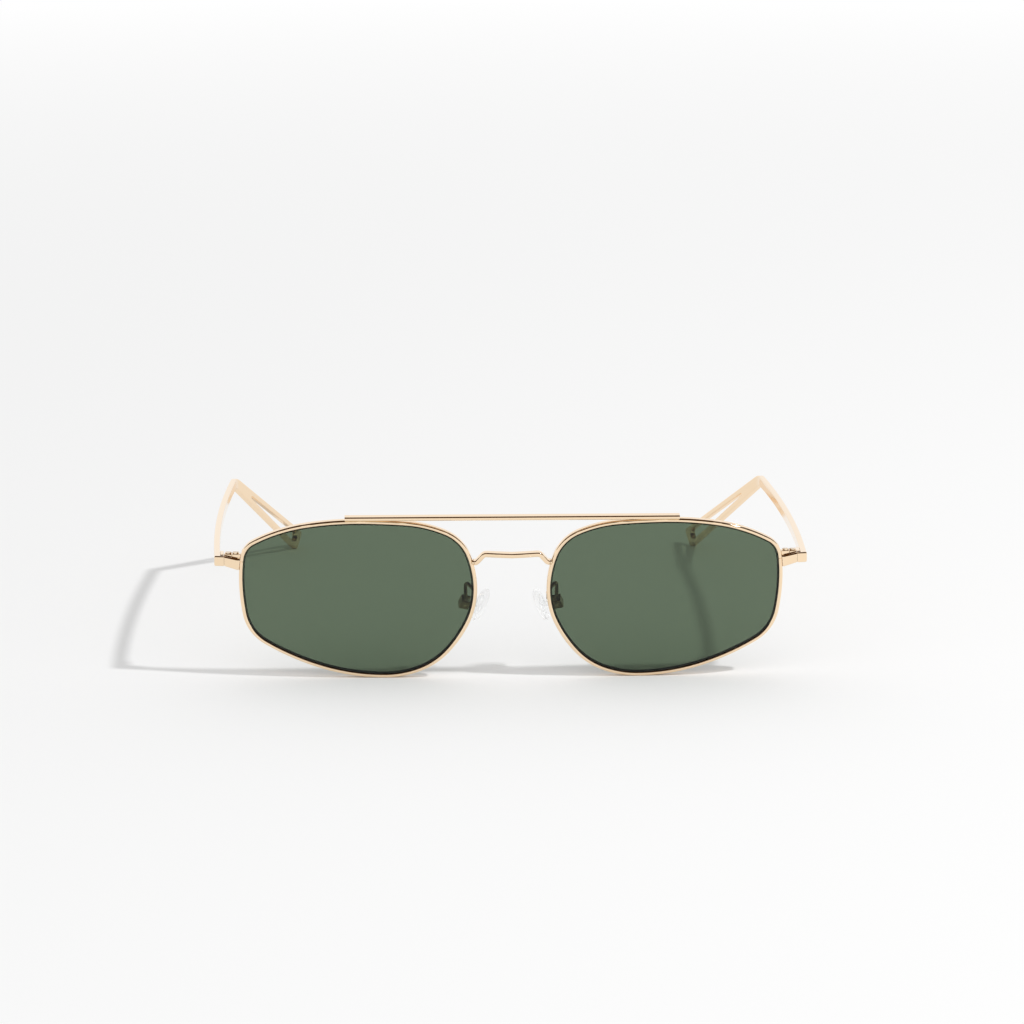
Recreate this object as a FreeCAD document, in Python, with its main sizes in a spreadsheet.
"""Wire-frame aviator sunglasses: two lenses in split rims, a bridge and a brow bar,
folding slotted temples on three-knuckle hinges, and nose pads that rock in their boxes.

The front is drawn upright: X across, Y from front to back, Z up, with Z = 0 under the rims.
The left side, which is the wearer's left, lies on +X and the right side is its mirror image.
At the end everything leans together, so that the rims and the temple tips share one plane.
"""
import FreeCAD, Part
import math
import os
from FreeCAD import Placement, Rotation, Vector

doc = FreeCAD.newDocument("Sunglasses")

# ---------------------------------------------------------------- driving dimensions (mm, deg)

SIZES = {
    "lens_width": 56.0,
    "lens_height": 38.6,
    "nose_width": 18.9,
    "lens_thickness": 1.8,
    "lens_radius": 132.0,
    "lens_recess": 0.15,
    "wrap_angle": 3.5,
    "rim_face": 1.0,
    "rim_depth": 2.0,
    "rim_round": 0.42,
    "groove_depth": 0.45,
    "groove_width": 0.8,
    "fit_gap": 0.05,
    "solder_gap": 0.02,
    "bar_length": 81.2,
    "bar_height": 1.0,
    "bar_depth": 2.4,
    "bar_round": 0.38,
    "bar_front": 0.5,
    "bridge_wire": 1.1,
    "bridge_depth": 2.2,
    "bridge_flat": 13.6,
    "bridge_level": 31.7,
    "bridge_sag": 0.3,
    "bridge_step": 2.1,
    "bridge_foot": 1.8,
    "bridge_landing": 2.9,
    "bridge_bend": 1.2,
    "bridge_bow": 0.8,
    "hinge_level": 28.6,
    "hinge_reach": 2.55,
    "hinge_height": 3.0,
    "hinge_setback": 2.3,
    "knuckle_radius": 1.05,
    "knuckle_gap": 0.06,
    "hinge_pin_radius": 0.55,
    "leaf_length": 4.6,
    "leaf_thickness": 0.65,
    "leaf_margin": 0.15,
    "web_width": 1.42,
    "plate_thickness": 1.0,
    "plate_root": 2.8,
    "plate_drop": 0.75,
    "plate_angle": 10.0,
    "plate_shoulder": 0.4,
    "plate_round": 0.45,
    "seam_reach": 0.6,
    "seam_gap": 0.05,
    "lug_thickness": 0.92,
    "block_screw_shift": 0.15,
    "block_depth": 2.0,
    "block_height": 1.6,
    "block_overlap": 1.5,
    "block_screw_depth": 0.9,
    "block_split": 0.12,
    "block_screw_radius": 0.45,
    "head_radius": 0.78,
    "head_height": 0.36,
    "screw_slot": 0.22,
    "pantoscopic_angle": 7.0,
    "arm_length": 97.1,
    "arm_thickness": 1.5,
    "arm_height": 2.5,
    "arm_reach": 3.4,
    "arm_bow": 1.4,
    "arm_inset": 1.1,
    "arm_round": 0.35,
    "bend_height": 2.7,
    "bend_radius": 5.0,
    "under_bend_radius": 3.0,
    "turn_in_radius": 10.0,
    "lug_round": 0.3,
    "tip_length": 41.5,
    "tip_drop_angle": 33.7,
    "tip_inset_angle": 25.0,
    "tip_height": 5.4,
    "tip_corner": 0.9,
    "slot_start": 9.6,
    "slot_end": 2.2,
    "slot_width": 2.8,
    "slot_point": 0.5,
    "pad_length": 10.8,
    "pad_width": 6.0,
    "pad_thickness": 1.8,
    "pad_round": 0.75,
    "pad_reach": 7.2,
    "pad_back": 8.6,
    "pad_level": 16.2,
    "pad_turn_angle": 12.0,
    "pad_tilt_angle": 15.9,
    "pad_roll_angle": 31.5,
    "pad_standoff": 4.5,
    "box_length": 2.6,
    "box_width": 2.4,
    "box_depth": 2.4,
    "box_slot": 1.3,
    "box_floor": 0.55,
    "pad_screw_radius": 0.4,
    "insert_length": 6.2,
    "insert_width": 3.2,
    "insert_plate": 0.4,
    "tab_gap": 0.15,
    "pad_wire": 0.9,
    "pad_wire_bend": 0.9,
    "pad_foot_inset": 0.5,
    "pad_foot_rise": 3.2,
    "hook_rise": 2.3,
    "hook_lean": 0.25,
    "hook_drop": 4.3,
    "hook_back": 0.5,
    "hook_side": 0.1,
    "hook_seat": 0.2,
}

sheet = doc.addObject("Spreadsheet::Sheet", "Sizes")
for row, (alias, value) in enumerate(SIZES.items(), start=1):
    sheet.set(f"A{row}", alias)
    sheet.set(f"B{row}", str(value))
    sheet.setAlias(f"B{row}", alias)
doc.recompute()


def size(alias):
    """One driving dimension, read from the sheet."""
    return float(sheet.get(alias))


def bind(feature, **formulas):
    """Tie properties of a feature to formulas of the sheet's cells."""
    for name, formula in formulas.items():
        feature.setExpression(name, formula)
    return feature


# ---------------------------------------------------------------- small construction helpers

FRONT_VIEW = Rotation(Vector(1, 0, 0), 90)
SIDE_VIEW = Rotation(Vector(0, 1, 0), Vector(0, 0, 1), Vector(1, 0, 0), "ZXY")
HERE = Placement()

# How far a tool reaches past the piece that it cuts, and construction prisms past everything.
MARGIN = 3
PRISM = 60
# The share of a width that rounds its end almost fully and still leaves a short flat.
NEARLY_HALF = 0.45
# The share of the largest bow radius that fits between the straight ends.
BOW_SHARE = 0.9


def sketch(name, placement, loops):
    """A free sketch of closed loops, each a list of lines and arcs."""
    feature = doc.addObject("Sketcher::SketchObject", name)
    feature.Placement = placement
    for loop in loops:
        feature.addGeometry(loop, False)
    return feature


def extrusion(name, profile, forward, backward=0.0):
    """A solid swept square from its sketch."""
    feature = doc.addObject("Part::Extrusion", name)
    feature.Base = profile
    feature.DirMode = "Custom"
    feature.Dir = profile.Placement.Rotation.multVec(Vector(0, 0, 1))
    feature.LengthFwd = forward
    feature.LengthRev = backward
    feature.Solid = True
    return feature


def boolean(kind, name, base, tool):
    """Part::Cut or Part::Common of two features."""
    feature = doc.addObject(f"Part::{kind}", name)
    feature.Base = base
    feature.Tool = tool
    return feature


def fuse(name, *features):
    feature = doc.addObject("Part::MultiFuse", name)
    feature.Shapes = list(features)
    feature.Refine = True
    return feature


def box(name, placement, corner, extent):
    """A box from its low corner and its extent, in a frame given by a placement."""
    feature = doc.addObject("Part::Box", name)
    feature.Length, feature.Width, feature.Height = extent
    feature.Placement = placement.multiply(Placement(Vector(*corner), Rotation()))
    return feature


def cylinder(name, placement, foot, radius, height):
    """An upright cylinder in a frame given by a placement; its radius is a formula."""
    feature = doc.addObject("Part::Cylinder", name)
    feature.Height = height
    feature.Placement = placement.multiply(Placement(Vector(*foot), Rotation()))
    return bind(feature, Radius=radius)


def fillet(name, base, radius, chosen):
    """Round the chosen edges of a feature."""
    doc.recompute()
    numbers = [i for i, edge in enumerate(base.Shape.Edges, start=1) if chosen(edge)]
    feature = doc.addObject("Part::Fillet", name)
    feature.Base = base
    feature.Edges = [(number, radius, radius) for number in numbers]
    return feature


def rounded(points, radii):
    """A closed loop of lines whose corners are rounded, one radius for each corner."""
    count = len(points)
    corners = []
    for i, radius in enumerate(radii):
        corner = Vector(*points[i], 0)
        if radius == 0:
            corners.append((corner, corner, corner))
            continue
        before = (Vector(*points[i - 1], 0) - corner).normalize()
        after = (Vector(*points[(i + 1) % count], 0) - corner).normalize()
        half = before.getAngle(after) / 2
        reach = radius / math.tan(half)
        heart = corner + (before + after).normalize() * (radius / math.sin(half))
        middle = heart + (corner - heart).normalize() * radius
        corners.append((corner + before * reach, middle, corner + after * reach))
    loop = []
    for i, (start, middle, end) in enumerate(corners):
        if radii[i] > 0:
            loop.append(Part.Arc(start, middle, end))
        following = corners[(i + 1) % count][0]
        if end.distanceToPoint(following) > 1e-6:
            loop.append(Part.LineSegment(end, following))
    return loop


def offset(points, distance):
    """An open line of points moved sideways, to its left, with mitred corners."""
    moved = []
    for i, point in enumerate(points):
        first = points[max(i - 1, 0)]
        last = points[min(i + 1, len(points) - 1)]
        incoming = Vector(point[0] - first[0], point[1] - first[1], 0)
        outgoing = Vector(last[0] - point[0], last[1] - point[1], 0)
        incoming = incoming if incoming.Length > 0 else outgoing
        outgoing = outgoing if outgoing.Length > 0 else incoming
        turn = incoming.getAngle(outgoing) / 2
        along = (incoming.normalize() + outgoing.normalize()).normalize()
        side = Vector(-along.y, along.x, 0) * (distance / math.cos(turn))
        moved.append((point[0] + side.x, point[1] + side.y))
    return moved


def ribbon(points, width, radii):
    """A band of constant width along an open line; the radii are the line's own."""
    left = offset(points, width / 2)
    right = offset(points, -width / 2)
    left_radii = []
    right_radii = []
    for i, radius in enumerate(radii):
        if radius == 0:
            left_radii.append(0)
            right_radii.append(0)
            continue
        before = Vector(points[i][0] - points[i - 1][0], points[i][1] - points[i - 1][1], 0)
        after = Vector(points[i + 1][0] - points[i][0], points[i + 1][1] - points[i][1], 0)
        turns_left = before.cross(after).z > 0
        left_radii.append(radius - width / 2 if turns_left else radius + width / 2)
        right_radii.append(radius + width / 2 if turns_left else radius - width / 2)
    return rounded(left + right[::-1], left_radii + right_radii[::-1])


# ---------------------------------------------------------------- rims and lenses

# The outline of the clear opening, anticlockwise: place as a share of half its width and
# half its height from the middle, and the direction in which the outline runs there.
OUTLINE = [
    (1.000, 0.216, 90),
    (0.899, 0.678, 149),
    (-0.040, 1.000, 180),
    (-0.756, 0.845, 205),
    (-1.000, 0.118, 270),
    (-0.762, -0.683, 312),
    (-0.230, -1.000, 0),
    (0.799, -0.593, 29),
]

lens_middle = Vector(
    size("nose_width") / 2 + size("lens_width") / 2, 0, size("rim_face") + size("lens_height") / 2
)
wrap = math.radians(size("wrap_angle"))
lens_heart = lens_middle + Vector(-math.sin(wrap), math.cos(wrap), 0) * size("lens_radius")


def front_depth(x, z):
    """How far back the rim's front face lies at a place of the front view."""
    rise = (size("lens_radius") + size("lens_recess")) ** 2
    rise -= (x - lens_heart.x) ** 2 + (z - lens_heart.z) ** 2
    return lens_heart.y - math.sqrt(rise)


def arc_between(start, heading, end):
    """The middle of the arc that leaves start along heading, and the heading at its end."""
    chord = end - start
    normal = Vector(-heading.y, heading.x, 0)
    radius = chord.dot(chord) / (2 * chord.dot(normal))
    heart = start + normal * radius
    middle = heart + (start + end - heart * 2).normalize() * abs(radius)
    spoke = end - heart
    return middle, Vector(-spoke.y, spoke.x, 0) / radius, heart


def outline(grow):
    """The opening's outline as pairs of tangent arcs, grown evenly outwards."""
    places = []
    for across, up, degrees in OUTLINE:
        place = Vector(
            lens_middle.x + across * size("lens_width") / 2,
            lens_middle.z + up * size("lens_height") / 2,
            0,
        )
        angle = math.radians(degrees)
        places.append((place, Vector(math.cos(angle), math.sin(angle), 0)))
    loop = []
    for i, (start, heading) in enumerate(places):
        end, final = places[(i + 1) % len(places)]
        chord = end - start
        both = heading + final
        a = 2 * (1 - heading.dot(final))
        b = 2 * chord.dot(both)
        reach = (math.sqrt(b * b + 4 * a * chord.dot(chord)) - b) / (2 * a)
        joint = (start + end + (heading - final) * reach) * 0.5
        middle, turned, heart = arc_between(start, heading, joint)
        loop.append(grown_arc(start, middle, joint, heart, grow))
        middle, turned, heart = arc_between(joint, turned, end)
        loop.append(grown_arc(joint, middle, end, heart, grow))
    return loop


def grown_arc(start, middle, end, heart, grow):
    """An arc about its centre with a larger radius."""
    return Part.Arc(*[p + (p - heart).normalize() * grow for p in (start, middle, end)])


def opening_prism(name, grow):
    """The opening's outline, grown, as a long prism through the front."""
    profile = sketch(name + "_outline", Placement(Vector(), FRONT_VIEW), [outline(grow)])
    return extrusion(name, profile, 2 * MARGIN, PRISM / 3)


def shell(name, outer, inner):
    """The space between two spheres about the lens's centre; the radii are formulas."""
    spheres = []
    for part, radius in (("outer", outer), ("inner", inner)):
        sphere = doc.addObject("Part::Sphere", f"{name}_{part}")
        sphere.Placement.Base = lens_heart
        spheres.append(bind(sphere, Radius=radius))
    return boolean("Cut", name, *spheres)


RIM_FRONT = "Sizes.lens_radius + Sizes.lens_recess"
GROOVE_MIDDLE = f"{RIM_FRONT} - Sizes.rim_depth / 2"
HALF_TONGUE = "(Sizes.groove_width / 2 - Sizes.fit_gap)"

# Where the hinge's axis stands in the upright front.
rim_side = size("nose_width") / 2 + size("lens_width") + size("rim_face")
hinge_x = rim_side + size("hinge_reach")
slant = math.radians(size("plate_angle"))
plate_run = (size("hinge_reach") + size("hinge_setback") * math.sin(slant)) / math.cos(slant)
hinge_y = front_depth(rim_side, size("hinge_level"))
hinge_y += plate_run * math.sin(slant) + size("hinge_setback") * math.cos(slant)
HINGE = Placement(
    Vector(hinge_x, hinge_y, size("hinge_level")),
    Rotation(Vector(1, 0, 0), -size("pantoscopic_angle")),
)
END = HINGE.multiply(Placement(Vector(), Rotation(Vector(0, 0, 1), size("plate_angle"))))

rim_outside = opening_prism("rim_outside", size("rim_face"))
rim_clearance = opening_prism("rim_clearance", size("rim_face") + size("solder_gap"))
nodes = {}


def make_rim():
    opening = opening_prism("rim_opening", 0)
    band = boolean("Cut", "rim_band", rim_outside, opening)
    section = shell("rim_shell", RIM_FRONT, f"{RIM_FRONT} - Sizes.rim_depth")
    ring = boolean("Common", "rim_ring", band, section)
    on_face = lambda edge: not isinstance(edge.Curve, (Part.Line, Part.LineSegment))
    round_ring = fillet("rim_round_ring", ring, size("rim_round"), on_face)
    groove_prism = opening_prism("groove_prism", size("groove_depth"))
    groove_shell = shell(
        "groove_shell",
        f"{GROOVE_MIDDLE} + Sizes.groove_width / 2",
        f"{GROOVE_MIDDLE} - Sizes.groove_width / 2",
    )
    groove = boolean("Common", "rim_groove", groove_prism, groove_shell)
    grooved = boolean("Cut", "rim_grooved", round_ring, groove)
    split = box(
        "rim_split_tool", END,
        (-plate_run - MARGIN, -size("hinge_setback") - MARGIN, -size("block_split") / 2),
        (2 * MARGIN, size("rim_depth") + 2 * MARGIN, size("block_split")),
    )
    nodes["rim"] = boolean("Cut", "rim", grooved, split)


def make_lens():
    pane_prism = opening_prism("lens_pane_prism", -size("fit_gap"))
    pane_shell = shell(
        "lens_pane_shell", "Sizes.lens_radius", "Sizes.lens_radius - Sizes.lens_thickness"
    )
    pane = boolean("Common", "lens_pane", pane_prism, pane_shell)
    edge_prism = opening_prism("lens_edge_prism", size("groove_depth") - size("fit_gap"))
    edge_shell = shell(
        "lens_edge_shell", f"{GROOVE_MIDDLE} + {HALF_TONGUE}", f"{GROOVE_MIDDLE} - {HALF_TONGUE}"
    )
    edge = boolean("Common", "lens_edge", edge_prism, edge_shell)
    nodes["lens"] = fuse("lens", pane, edge)


# ---------------------------------------------------------------- bridge and brow bar

def make_bridge():
    """A flat wire: level over the nose, stepping down at each end onto the rims."""
    flat = size("bridge_flat") / 2
    level = size("bridge_level")
    low = level - size("bridge_step")
    half = [
        (0, level - size("bridge_sag")),
        (flat, level),
        (flat + size("bridge_foot"), low),
        (flat + size("bridge_foot") + size("bridge_landing"), low - size("bridge_sag")),
    ]
    line = [(-x, z) for x, z in half[:0:-1]] + half
    bend = size("bridge_bend")
    band = ribbon(line, size("bridge_wire"), [0, bend, bend, 0, bend, bend, 0])
    front = sketch("bridge_front", Placement(Vector(), FRONT_VIEW), [band])
    prism = extrusion("bridge_prism", front, PRISM, PRISM)
    reach = half[-1][0] + MARGIN
    seat = front_depth(size("nose_width") / 2, level) + size("rim_depth") / 2
    bow = [(-reach, seat), (0, seat - size("bridge_bow") * 2), (reach, seat)]
    curve = BOW_SHARE * reach * reach / (size("bridge_bow") * 2)
    plan_band = ribbon(bow, size("bridge_depth"), [0, curve, 0])
    plan = sketch("bridge_plan", HERE, [plan_band])
    slab = extrusion("bridge_slab", plan, PRISM)
    wire = boolean("Common", "bridge_wire", prism, slab)
    mirror_tool = mirrored("bridge_clearance_right", rim_clearance)
    half_cut = boolean("Cut", "bridge_left_end", wire, rim_clearance)
    nodes["bridge"] = boolean("Cut", "bridge", half_cut, mirror_tool)


def mirrored(name, source):
    """The mirror image of a feature on the other side."""
    feature = doc.addObject("Part::Mirroring", name)
    feature.Source = source
    feature.Normal = Vector(1, 0, 0)
    return feature


def make_brow_bar():
    top = size("rim_face") * 2 + size("lens_height") + size("solder_gap")
    bar = box("brow_bar_blank", HERE, (0, 0, top), (1, 1, 1))
    bind(bar, Length="Sizes.bar_length", Width="Sizes.bar_depth", Height="Sizes.bar_height")
    bar.Placement.Base.y = size("bar_front")
    bar.Placement.Base.x = -size("bar_length") / 2
    along = lambda edge: abs(edge.tangentAt(edge.FirstParameter).x) > 0.99
    nodes["brow_bar"] = fillet("brow_bar", bar, size("bar_round"), along)


# ---------------------------------------------------------------- end piece and closing block

plate_face = -size("hinge_setback")
plate_back = plate_face + size("plate_thickness")


def make_end_piece():
    """A tapering plate from the rim's side to the seam, in front of the hinge."""
    root = -plate_run - MARGIN
    seam = size("seam_reach")
    wide = size("plate_root") / 2
    narrow = size("arm_height") / 2
    drop = size("plate_drop")
    shoulder = -plate_run + size("plate_shoulder")
    corners = [(root, -wide - drop), (shoulder, -wide - drop), (seam, -narrow)]
    corners += [(seam, narrow), (shoulder, wide - drop), (root, wide - drop)]
    face = sketch(
        "end_piece_face",
        END.multiply(Placement(Vector(0, plate_face, 0), FRONT_VIEW)),
        [rounded(corners, [0] * 6)],
    )
    blank = extrusion("end_piece_blank", face, 0, size("plate_thickness"))
    halfway = plate_face + size("plate_thickness") / 2

    def on_front(edge):
        ends = [END.inverse().multVec(vertex.Point) for vertex in edge.Vertexes]
        return abs(ends[0].x - ends[-1].x) > size("plate_thickness") and ends[0].y < halfway

    softened = fillet("end_piece_softened", blank, size("plate_round"), on_front)
    nodes["end_piece"] = boolean("Cut", "end_piece", softened, rim_clearance)


def screw(name, placement, radius, bottom, top):
    """A slotted cheese-head screw standing along Z, its head on the top level."""
    shank = cylinder(name + "_shank", placement, (0, 0, bottom), radius, top - bottom)
    head = cylinder(
        name + "_head", placement, (0, 0, top), "Sizes.head_radius", size("head_height")
    )
    whole = fuse(name + "_whole", shank, head)
    slot = box(
        name + "_slot", placement,
        (-size("head_radius"), -size("screw_slot") / 2, top + size("head_height") / 2),
        (size("head_radius") * 2, size("screw_slot"), size("head_height")),
    )
    return boolean("Cut", name, whole, slot)


def make_closing_block():
    """Two barrels behind the plate that the closing screw pulls together."""
    half_split = size("block_split") / 2
    front = plate_back + size("solder_gap")
    near = -plate_run - size("block_overlap")
    far = -size("knuckle_radius") - size("fit_gap")
    centre = ((far - plate_run) / 2 + size("block_screw_shift"), front + size("block_screw_depth"))
    screw_frame = END.multiply(Placement(Vector(*centre, 0), Rotation()))
    for half, low in (("upper", half_split), ("lower", -half_split - size("block_height"))):
        gap = 0 if half == "upper" else size("seam_gap")
        blank = box(
            f"closing_block_{half}_blank", END, (near, front + gap, low),
            (far - near, size("block_depth") - gap, size("block_height")),
        )
        trimmed = boolean("Cut", f"closing_block_{half}_trimmed", blank, rim_clearance)
        bore = cylinder(
            f"closing_block_{half}_bore", screw_frame, (0, 0, low - MARGIN),
            "Sizes.block_screw_radius + Sizes.fit_gap", size("block_height") + 2 * MARGIN,
        )
        nodes[f"closing_block_{half}"] = boolean("Cut", f"closing_block_{half}", trimmed, bore)
    nodes["closing_screw"] = screw(
        "closing_screw", screw_frame, "Sizes.block_screw_radius",
        -half_split - size("block_height"), half_split + size("block_height") + size("solder_gap"),
    )


# ---------------------------------------------------------------- hinge

KNUCKLE_COUNT = 3
knuckle = size("hinge_height") - (KNUCKLE_COUNT - 1) * size("knuckle_gap")
knuckle = knuckle / KNUCKLE_COUNT
KNUCKLES = {
    "lower": -size("hinge_height") / 2,
    "middle": -knuckle / 2,
    "upper": size("hinge_height") / 2 - knuckle,
}


def knuckle_with_web(name, level, corner, extent):
    """One knuckle about the hinge's axis and the web that joins it to its plate."""
    barrel = cylinder(name + "_barrel", END, (0, 0, level), "Sizes.knuckle_radius", knuckle)
    web = box(name + "_web", END, (*corner, level), (*extent, knuckle))
    return barrel, web


def bored(name, solid):
    bore = cylinder(
        name + "_bore", END, (0, 0, -size("hinge_height")),
        "Sizes.hinge_pin_radius + Sizes.fit_gap", size("hinge_height") * 2,
    )
    return boolean("Cut", name, solid, bore)


def make_hinge():
    radius = size("knuckle_radius")
    front = plate_back + size("solder_gap")
    pieces = []
    for place in ("lower", "upper"):
        pieces += knuckle_with_web(
            "front_leaf_" + place, KNUCKLES[place], (-radius, front), (size("web_width"), -front)
        )
    foot = box(
        "front_leaf_foot", END, (-radius, front, -size("hinge_height") / 2),
        (size("web_width"), -front - radius - size("fit_gap"), size("hinge_height")),
    )
    nodes["front_hinge_leaf"] = bored("front_hinge_leaf", fuse("front_leaf_blank", *pieces, foot))

    inner = size("arm_reach") - size("arm_thickness") - size("solder_gap")
    barrel = cylinder(
        "temple_leaf_barrel", HINGE, (0, 0, KNUCKLES["middle"]), "Sizes.knuckle_radius", knuckle
    )
    web = box(
        "temple_leaf_web", HINGE, (0, radius - size("web_width"), KNUCKLES["middle"]),
        (inner + MARGIN / 2, size("web_width"), knuckle),
    )
    leaf_height = size("arm_height") - 2 * size("leaf_margin")
    plate = box(
        "temple_leaf_plate", HINGE,
        (inner - size("leaf_thickness"), radius / 2, -leaf_height / 2),
        (size("leaf_thickness") + MARGIN / 2, size("leaf_length"), leaf_height),
    )
    sweep = cylinder(
        "temple_leaf_sweep", HINGE, (0, 0, -size("hinge_height")),
        "Sizes.knuckle_radius + 4 * Sizes.fit_gap", size("hinge_height") * 2,
    )
    cleared = boolean("Cut", "temple_leaf_cleared", plate, sweep)
    blank = fuse("temple_leaf_blank", barrel, web, cleared)
    seated = boolean("Cut", "temple_leaf_seated", blank, temple_clearance)
    nodes["temple_hinge_leaf"] = bored("temple_hinge_leaf", seated)

    nodes["hinge_screw"] = screw(
        "hinge_screw", END, "Sizes.hinge_pin_radius",
        -size("hinge_height") / 2, size("hinge_height") / 2 + size("solder_gap"),
    )


# ---------------------------------------------------------------- temple

def temple_plan(grow):
    """The temple from above: the lug across the end, the bowed arm and the turned-in tip."""
    turn = lambda along, back: (
        along * math.cos(slant) - back * math.sin(slant),
        along * math.sin(slant) + back * math.cos(slant),
    )
    seam = size("seam_reach") + size("seam_gap")
    outer = size("arm_reach")
    face_y = plate_face * math.cos(slant) + (outer + plate_face * math.sin(slant)) * math.tan(slant)
    bend = (outer - size("arm_inset"), size("arm_length"))
    peak = ((outer + bend[0]) / 2 + size("arm_bow") * 2, (face_y + bend[1]) / 2)
    along = size("tip_length") * math.cos(math.radians(size("tip_drop_angle")))
    along += size("tip_height")
    inset = along * math.tan(math.radians(size("tip_inset_angle")))
    end = (bend[0] - inset, bend[1] + along)
    run = (bend[1] - face_y) / 2
    curve = BOW_SHARE * run * run / (size("arm_bow") * 2)
    outside = offset([(outer, face_y), peak, bend, end], -grow)
    inside = offset([(outer, face_y), peak, bend, end], size("arm_thickness") + grow)
    lug_back = plate_face + size("lug_thickness") + grow
    lug_start = turn(seam - grow, lug_back)
    inner_corner = turn((inside[0][0] + lug_back * math.sin(slant)) / math.cos(slant), lug_back)
    corners = [turn(seam - grow, plate_face - grow), *outside, *inside[:0:-1]]
    corners += [inner_corner, lug_start]
    bend_radius = size("turn_in_radius")
    lug_round = size("lug_round")
    radii = [0, lug_round, curve, bend_radius, 0, 0, bend_radius, curve, lug_round, 0]
    return rounded(corners, radii)


def temple_side():
    """The temple from the side: the level arm, the ear bend and the slotted tip."""
    drop = math.radians(size("tip_drop_angle"))
    ahead = Vector(math.cos(drop), -math.sin(drop), 0)
    across = Vector(math.sin(drop), math.cos(drop), 0)
    bend = Vector(size("arm_length"), 0, 0)
    tip = bend + ahead * size("tip_length")
    mitre = Vector(math.tan(drop / 2), 1, 0) * (size("bend_height") / 2)
    wide = across * (size("tip_height") / 2)
    front = -size("hinge_setback") - MARGIN
    half = size("arm_height") / 2
    outer = [(front, -half), bend - mitre, tip - wide, tip + wide, bend + mitre, (front, half)]
    outer = [(p[0], p[1]) for p in outer]
    bend_radius = size("bend_radius")
    corner = size("tip_corner")
    radii = [0, size("under_bend_radius"), corner, corner, bend_radius, 0]
    start = bend + ahead * size("slot_start")
    end = tip - ahead * size("slot_end")
    narrow = across * (size("slot_point") / 2)
    broad = across * (size("slot_width") / 2)
    slot = [start - narrow, end - broad, end + broad, start + narrow]
    slot = [(p[0], p[1]) for p in slot]
    point = size("slot_point") * NEARLY_HALF
    dome = size("slot_width") * NEARLY_HALF
    return [rounded(outer, radii), rounded(slot, [point, dome, dome, point])]


def make_temple():
    plan = sketch("temple_plan", HINGE, [temple_plan(0)])
    slab = extrusion("temple_slab", plan, PRISM, PRISM)
    side = sketch("temple_side", HINGE.multiply(Placement(Vector(), SIDE_VIEW)), temple_side())
    silhouette = extrusion("temple_silhouette", side, PRISM, PRISM)
    blank = boolean("Common", "temple_blank", slab, silhouette)
    nodes["temple"] = fillet("temple", blank, size("arm_round"), runs_lengthwise)


def runs_lengthwise(edge):
    """True for an edge along the temple, false for one through its thickness or height."""
    most_across, most_upright = 0.75, 0.99
    heading = HINGE.inverse().Rotation.multVec(edge.tangentAt(edge.FirstParameter))
    return abs(heading.x) < most_across and abs(heading.z) < most_upright


temple_clearance_plan = sketch("temple_clearance_plan", HINGE, [temple_plan(size("solder_gap"))])
temple_clearance = extrusion("temple_clearance", temple_clearance_plan, PRISM, PRISM)


# ---------------------------------------------------------------- nose pad

turn_angle = math.radians(size("pad_turn_angle"))
tilt_angle = math.radians(size("pad_tilt_angle"))
pad_normal = Vector(
    -math.cos(tilt_angle) * math.cos(turn_angle),
    math.cos(tilt_angle) * math.sin(turn_angle),
    -math.sin(tilt_angle),
)
pad_up = Vector(0, 0, 1) - pad_normal * pad_normal.z
pad_up = Rotation(pad_normal, -size("pad_roll_angle")).multVec(pad_up.normalize())
PAD_TURN = Rotation(pad_up, pad_normal.cross(pad_up), pad_normal, "ZXY")
pad_heart = Vector(size("pad_reach"), size("pad_back"), size("pad_level"))
BOX = Placement(pad_heart - pad_normal * size("pad_standoff"), PAD_TURN)
SCREW_AXIS = Rotation(Vector(1, 0, 0), -90)


def make_pad_box():
    """A metal box with a slot that takes the pad's tab; its screw runs along local Y."""
    length, width, depth = size("box_length"), size("box_width"), size("box_depth")
    floor = size("box_floor")
    low = -depth / 2
    blank = box("pad_box_blank", BOX, (-length / 2, -width / 2, low), (length, width, depth))
    slot = box(
        "pad_box_slot", BOX, (-length, -size("box_slot") / 2, low + floor),
        (length * 2, size("box_slot"), depth),
    )
    slotted = boolean("Cut", "pad_box_slotted", blank, slot)
    bore = cylinder(
        "pad_box_bore", BOX.multiply(Placement(Vector(), SCREW_AXIS)), (0, 0, -width),
        "Sizes.pad_screw_radius + Sizes.fit_gap", width * 2,
    )
    nodes["pad_box"] = boolean("Cut", "pad_box", slotted, bore)
    nodes["pad_screw"] = screw(
        "pad_screw", BOX.multiply(Placement(Vector(), SCREW_AXIS)), "Sizes.pad_screw_radius",
        -width / 2, width / 2 + size("solder_gap"),
    )


def pad_oval(name, length, width, low, height):
    """An oval slab in the pad's frame."""
    oval = doc.addObject("Part::Ellipse", name + "_oval")
    oval.MajorRadius = length / 2
    oval.MinorRadius = width / 2
    oval.Placement = BOX.multiply(Placement(Vector(0, 0, low), Rotation()))
    return extrusion(name, oval, height)


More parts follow.
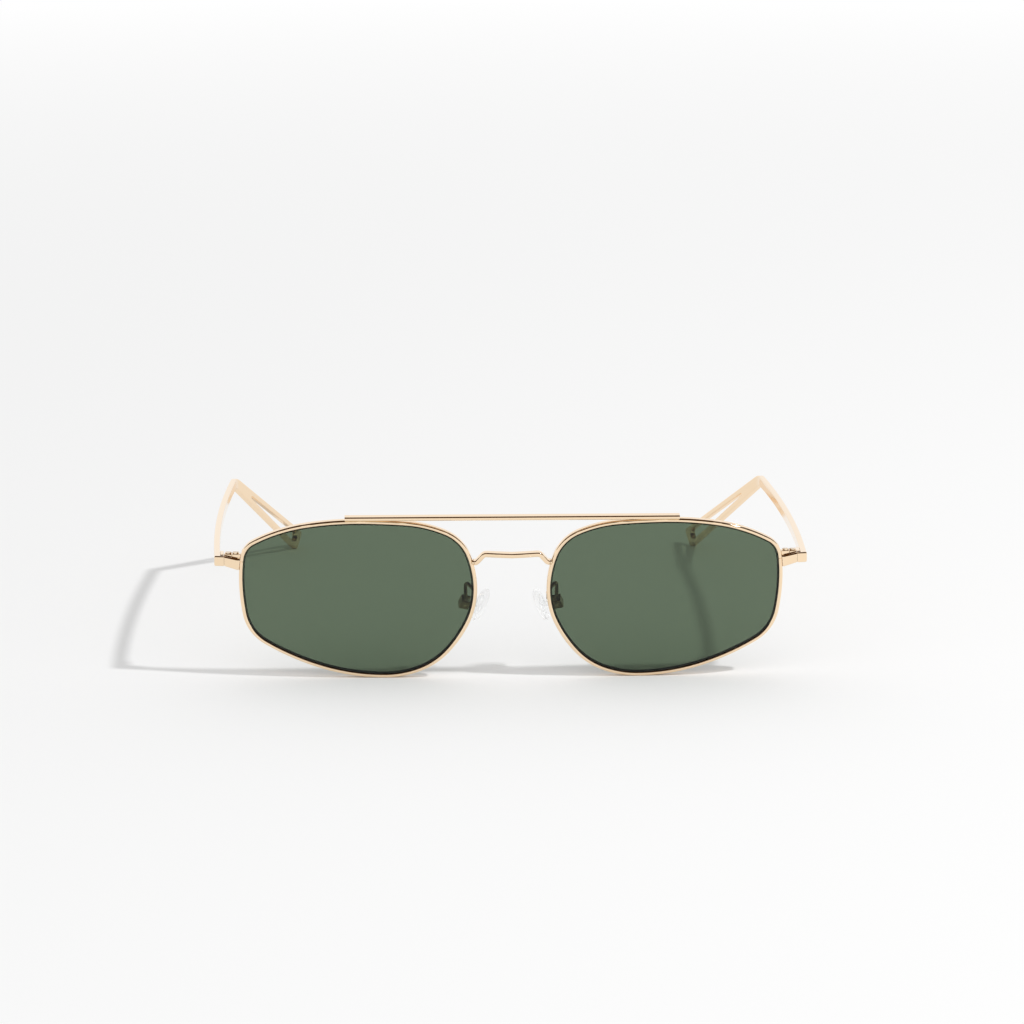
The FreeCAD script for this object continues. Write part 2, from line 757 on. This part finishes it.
def make_nose_pad():
    """The soft pad, and the metal insert whose tab hangs in the box."""
    pad_face = size("pad_standoff") - size("pad_thickness") / 2
    tab_end = size("box_depth") / 2 - size("box_floor") - size("tab_gap")
    tab_half = (size("box_slot") - 2 * size("fit_gap")) / 2
    plate = pad_oval(
        "pad_insert_plate", size("insert_length"), size("insert_width"), pad_face,
        size("insert_plate"),
    )
    stem = box(
        "pad_insert_stem", BOX, (-tab_end, -tab_half, 0),
        (tab_end * 2, tab_half * 2, pad_face + size("insert_plate") / 2),
    )
    knob_frame = BOX.multiply(Placement(Vector(), SCREW_AXIS))
    knob = doc.addObject("Part::Cylinder", "pad_insert_knob")
    knob.Radius = tab_end
    knob.Height = tab_half * 2
    knob.Placement = knob_frame.multiply(Placement(Vector(0, 0, -tab_half), Rotation()))
    insert = fuse("pad_insert_blank", plate, stem, knob)
    bore = cylinder(
        "pad_insert_bore", knob_frame, (0, 0, -size("box_width")),
        "Sizes.pad_screw_radius + Sizes.fit_gap", size("box_width") * 2,
    )
    nodes["pad_insert"] = boolean("Cut", "pad_insert", insert, bore)

    blank = pad_oval(
        "nose_pad_blank", size("pad_length"), size("pad_width"), pad_face, size("pad_thickness")
    )
    curved = lambda edge: not isinstance(edge.Curve, (Part.Line, Part.LineSegment))
    crowned = fillet("nose_pad_crowned", blank, size("pad_round"), curved)
    recess = pad_oval(
        "nose_pad_recess", size("insert_length") + 2 * size("fit_gap"),
        size("insert_width") + 2 * size("fit_gap"), pad_face - MARGIN,
        size("insert_plate") + MARGIN + size("fit_gap"),
    )
    nodes["nose_pad"] = boolean("Cut", "nose_pad", crowned, recess)


def make_pad_arm():
    """The wire from the back of the rim, round a hook and down onto the pad's box."""
    inner = size("nose_width") / 2
    foot = Vector(inner - size("pad_foot_inset"), 0, size("pad_level") + size("pad_foot_rise"))
    foot.y = front_depth(foot.x, foot.z) + size("rim_depth") + size("pad_wire") / 2
    foot.y += size("solder_gap")
    seat = size("box_length") / 2 + size("solder_gap")
    top = BOX.multVec(Vector(seat, 0, -size("hook_seat")))
    path = [
        foot,
        foot + Vector(0, size("hook_lean"), size("hook_rise")),
        top + Vector(size("hook_side"), size("hook_back"), size("hook_drop")),
        top,
    ]
    pieces = []
    bend = size("pad_wire_bend")
    last = path[0]
    for before, corner, after in zip(path, path[1:], path[2:]):
        back = (before - corner).normalize()
        ahead = (after - corner).normalize()
        half = back.getAngle(ahead) / 2
        reach = bend / math.tan(half)
        heart = corner + (back + ahead).normalize() * (bend / math.sin(half))
        middle = heart + (corner - heart).normalize() * bend
        pieces.append(Part.LineSegment(last, corner + back * reach).toShape())
        last = corner + ahead * reach
        pieces.append(Part.Arc(corner + back * reach, middle, last).toShape())
    pieces.append(Part.LineSegment(last, path[-1]).toShape())
    spine = doc.addObject("Part::Feature", "pad_arm_spine")
    spine.Shape = Part.Wire(pieces)
    ring = doc.addObject("Part::Circle", "pad_arm_ring")
    start = (path[1] - path[0]).normalize()
    ring.Placement = Placement(path[0], Rotation(Vector(0, 0, 1), start))
    bind(ring, Radius="Sizes.pad_wire / 2")
    sweep = doc.addObject("Part::Sweep", "pad_arm")
    sweep.Sections = [ring]
    sweep.Spine = (spine, [f"Edge{i + 1}" for i in range(len(pieces))])
    sweep.Solid = True
    sweep.Frenet = False
    nodes["pad_arm"] = sweep


for make in (
    make_rim, make_lens, make_bridge, make_brow_bar, make_end_piece, make_closing_block,
    make_temple, make_hinge, make_pad_box, make_nose_pad, make_pad_arm,
):
    make()
doc.recompute()

# ---------------------------------------------------------------- stance, mirror and export

SINGLE = ("bridge", "brow_bar")


def lowest(shape, lean):
    turned = shape.copy()
    turned.rotate(Vector(), Vector(1, 0, 0), lean)
    return turned.optimalBoundingBox(False).ZMin


def standing_lean():
    """The lean that brings the rims and the temple tips onto one level, by halving."""
    rim = nodes["rim"].Shape
    temple = nodes["temple"].Shape
    low, high = 0.0, 12.0
    accuracy = 1e-5
    while high - low > accuracy:
        middle = (low + high) / 2
        if lowest(temple, middle) < lowest(rim, middle):
            low = middle
        else:
            high = middle
    return high


lean = standing_lean()
stance = Placement(Vector(), Rotation(Vector(1, 0, 0), lean))
extents = []
for feature in nodes.values():
    shape = feature.Shape.copy()
    shape.Placement = stance.multiply(shape.Placement)
    extents.append(shape.optimalBoundingBox(False))
front_edge = min(extent.YMin for extent in extents)
back_edge = max(extent.YMax for extent in extents)
floor = min(extent.ZMin for extent in extents)
stance.Base = Vector(0, -(front_edge + back_edge) / 2, -floor)

finished = {}
for name, feature in nodes.items():
    feature.Placement = stance.multiply(feature.Placement)
    if name in SINGLE:
        feature.Label = name
        finished[name] = feature
        continue
    feature.Label = name + "_left"
    finished[name + "_left"] = feature
    opposite = mirrored(name + "_other", feature)
    opposite.Label = name + "_right"
    finished[name + "_right"] = opposite
doc.recompute()

for feature in doc.Objects:
    if "Invalid" in feature.State or "Error" in feature.State:
        raise RuntimeError(f"{feature.Name} failed: {feature.State}")
os.makedirs("parts", exist_ok=True)
for label, feature in finished.items():
    shape = feature.Shape
    if shape.isNull() or not shape.isValid() or shape.Volume <= 0:
        raise RuntimeError(f"{label} is not a valid solid")
    shape.exportStep(f"parts/{label}.step")
    extent = shape.BoundBox
    print(
        f"{label:26s} {len(shape.Solids)} solid(s) {shape.Volume:9.2f} mm3  "
        f"x {extent.XMin:7.2f}..{extent.XMax:7.2f}  y {extent.YMin:7.2f}..{extent.YMax:7.2f}  "
        f"z {extent.ZMin:6.2f}..{extent.ZMax:6.2f}"
    )
for title, frame, axis in (("hinge", HINGE, Vector(0, 0, 1)), ("pad screw", BOX, Vector(0, 1, 0))):
    placed = stance.multiply(frame)
    print(f"{title} axis on the left:", placed.Base, placed.Rotation.multVec(axis))
bar_top = size("rim_face") * 2 + size("lens_height") + size("solder_gap") + size("bar_height")
bar_top = Vector(0, size("bar_front") + size("bar_depth") / 2, bar_top)
print("bar top:", stance.multVec(bar_top), stance.Rotation.multVec(Vector(0, 0, 1)))
print(f"lean {lean:.3f} degrees")
